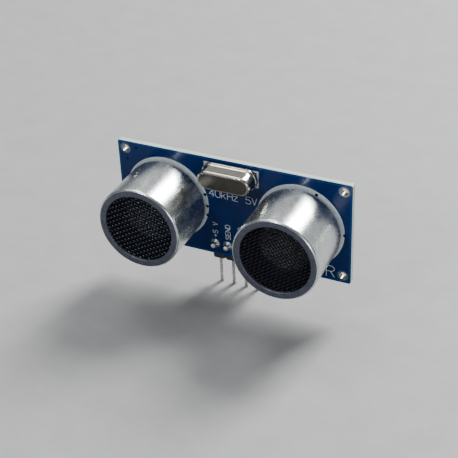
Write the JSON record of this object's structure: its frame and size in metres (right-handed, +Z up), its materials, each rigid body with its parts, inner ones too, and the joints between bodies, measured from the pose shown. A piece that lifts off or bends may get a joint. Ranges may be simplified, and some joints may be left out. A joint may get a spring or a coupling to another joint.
{
  "type": "ultrasonic distance sensor",
  "caption": "Ultrasonic distance sensor: a small circuit board carrying a round transmitter and receiver, a crystal and a right-angle pin header.",
  "frame": {"origin": "centre of the four corner holes, on the front face of the circuit board", "axes": "+X along the board towards the receiver, -Y the way both transducers face, +Z up, away from the header pins"},
  "size_m": [0.0454, 0.0153, 0.0283],
  "materials": {
    "fr4_laminate": "cut glass-epoxy edge",
    "blue_solder_mask": "glossy dark blue lacquer",
    "white_ink": "matt print",
    "tinned_copper": "hot-air tinned",
    "solder": "bright solder",
    "can_aluminium": "drawn, satin",
    "black_mesh": "black, satin",
    "cone_aluminium": "thin bright foil",
    "diaphragm_brass": "plain",
    "piezo_ceramic": "silvered face",
    "silicone_rubber": "soft, matt",
    "black_nylon": "moulded",
    "tinned_pin": "tinned",
    "enamelled_wire": "copper, enamelled",
    "nickel_silver": "bright drawn can",
    "seal_glass": "dark sealing glass",
    "quartz": "lapped quartz with silver electrodes",
    "moulding_compound": "fine-grained black epoxy",
    "silicon": "polished die on a copper paddle",
    "alumina": "white fired body",
    "resistor_glaze": "black overcoat",
    "capacitor_ceramic": "tan fired body"
  },
  "bodies": {
    "root": {"amplifier_die": "silicon", "amplifier_leads": "tinned_pin", "amplifier_package": "moulding_compound", "board_core": "fr4_laminate", "chip_capacitor_bodies": "capacitor_ceramic", "chip_capacitor_terminals": "tinned_copper", "chip_resistor_bodies": "alumina", "chip_resistor_overcoats": "resistor_glaze", "chip_resistor_terminals": "tinned_copper", "corner_hole_plating": "tinned_copper", "crystal_base": "nickel_silver", "crystal_blank": "quartz", "crystal_can": "nickel_silver", "crystal_clips": "tinned_pin", "crystal_glass_seals": "seal_glass", "crystal_hole_plating": "tinned_copper", "crystal_leads": "tinned_pin", "crystal_solder": "solder", "driver_die": "silicon", "driver_leads": "tinned_pin", "driver_package": "moulding_compound", "front_legend_ink": "white_ink", "front_solder_mask": "blue_solder_mask", "header_body": "black_nylon", "header_hole_plating": "tinned_copper", "header_pins": "tinned_pin", "header_solder": "solder", "microcontroller_die": "silicon", "microcontroller_leads": "tinned_pin", "microcontroller_package": "moulding_compound", "rear_legend_ink": "white_ink", "rear_solder_lands": "tinned_copper", "rear_solder_mask": "blue_solder_mask", "receiver_base": "black_nylon", "receiver_can": "can_aluminium", "receiver_cone": "cone_aluminium", "receiver_damping_ring": "silicone_rubber", "receiver_diaphragm": "diaphragm_brass", "receiver_grille": "black_mesh", "receiver_lead_wires": "enamelled_wire", "receiver_piezo_disc": "piezo_ceramic", "receiver_pins": "tinned_pin", "surface_solder": "solder", "transducer_hole_plating": "tinned_copper", "transducer_solder": "solder", "transistor_leads": "tinned_pin", "transistor_package": "moulding_compound", "transmitter_base": "black_nylon", "transmitter_can": "can_aluminium", "transmitter_cone": "cone_aluminium", "transmitter_damping_ring": "silicone_rubber", "transmitter_diaphragm": "diaphragm_brass", "transmitter_grille": "black_mesh", "transmitter_lead_wires": "enamelled_wire", "transmitter_piezo_disc": "piezo_ceramic", "transmitter_pins": "tinned_pin", "via_plating": "tinned_copper"}
  },
  "joints": []
}
